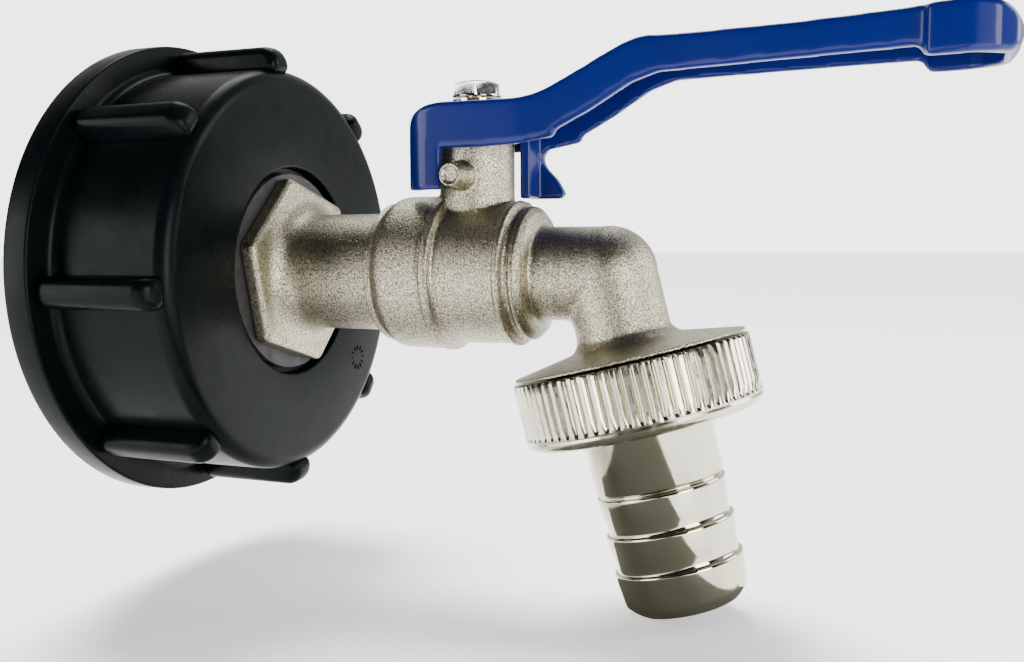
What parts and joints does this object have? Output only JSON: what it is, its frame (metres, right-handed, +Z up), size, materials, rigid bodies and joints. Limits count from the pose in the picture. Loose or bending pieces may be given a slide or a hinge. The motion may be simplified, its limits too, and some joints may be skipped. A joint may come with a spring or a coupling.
{
  "type": "tank outlet ball tap",
  "caption": "Screw cap for a coarse-threaded tank outlet, fitted with a lever ball tap, a turned-down elbow, a knurled union nut and a barbed hose tail.",
  "frame": {"origin": "centre of the screw cap's open rear end, on its axis", "axes": "+X along the cap and the level waterway, away from the tank; +Z up along the lever's stem; the stop boss points to -Y"},
  "size_m": [0.1385, 0.078, 0.091],
  "materials": {
    "moulded_black": "black polypropylene, injection moulded, fine satin surface with a soft sheen",
    "seal_rubber": "black EPDM, dull",
    "blasted_nickel": "nickel plating over blasted brass castings, warm grey with a fine grain",
    "polished_nickel": "nickel plating over turned brass, bright with a warm tint",
    "white_ptfe": "white PTFE, waxy",
    "bare_brass": "turned brass",
    "blue_paint": "thick glossy blue powder coat with rounded edges",
    "bright_steel": "bright zinc plating"
  },
  "bodies": {
    "tap": {"adapter_cap": "moulded_black", "cap_gasket": "seal_rubber", "inlet_seal": "seal_rubber", "inlet_connector": "blasted_nickel", "tap_body": "blasted_nickel", "inlet_seat": "white_ptfe", "outlet_seat": "white_ptfe", "stem_thrust_washer": "white_ptfe"},
    "lever_set": {"lever": "blue_paint", "lever_washer": "bright_steel", "lever_nut": "bright_steel", "stem": "bare_brass", "ball": "polished_nickel", "stem_o_ring_lower": "seal_rubber", "stem_o_ring_upper": "seal_rubber"},
    "union_slide": {"hose_seal": "seal_rubber"},
    "nut": {"union_nut": "polished_nickel"},
    "tail": {"hose_tail": "polished_nickel"}
  },
  "joints": [
    {"name": "lever_turn", "type": "hinge", "parent": "tap", "child": "lever_set", "pos_m": [0.0601, 0, 0.0265], "axis": [0, 0, 1], "range_deg": [-90, 5]},
    {"name": "union_drop", "type": "slide", "parent": "tap", "child": "union_slide", "axis": [0.247, 0, -0.969], "range_m": [0, 0.0046]},
    {"name": "nut_turn", "type": "hinge", "parent": "union_slide", "child": "nut", "pos_m": [0.08207, 0, 0], "axis": [0.247, 0, -0.969], "range_deg": [0, 900]},
    {"name": "tail_swivel", "type": "hinge", "parent": "union_slide", "child": "tail", "pos_m": [0.08207, 0, 0], "axis": [0.247, 0, -0.969], "continuous": true}
  ],
  "couplings": [
    {"joint": "union_drop", "follows": "nut_turn", "m_per_rad": 0.00028872}
  ]
}
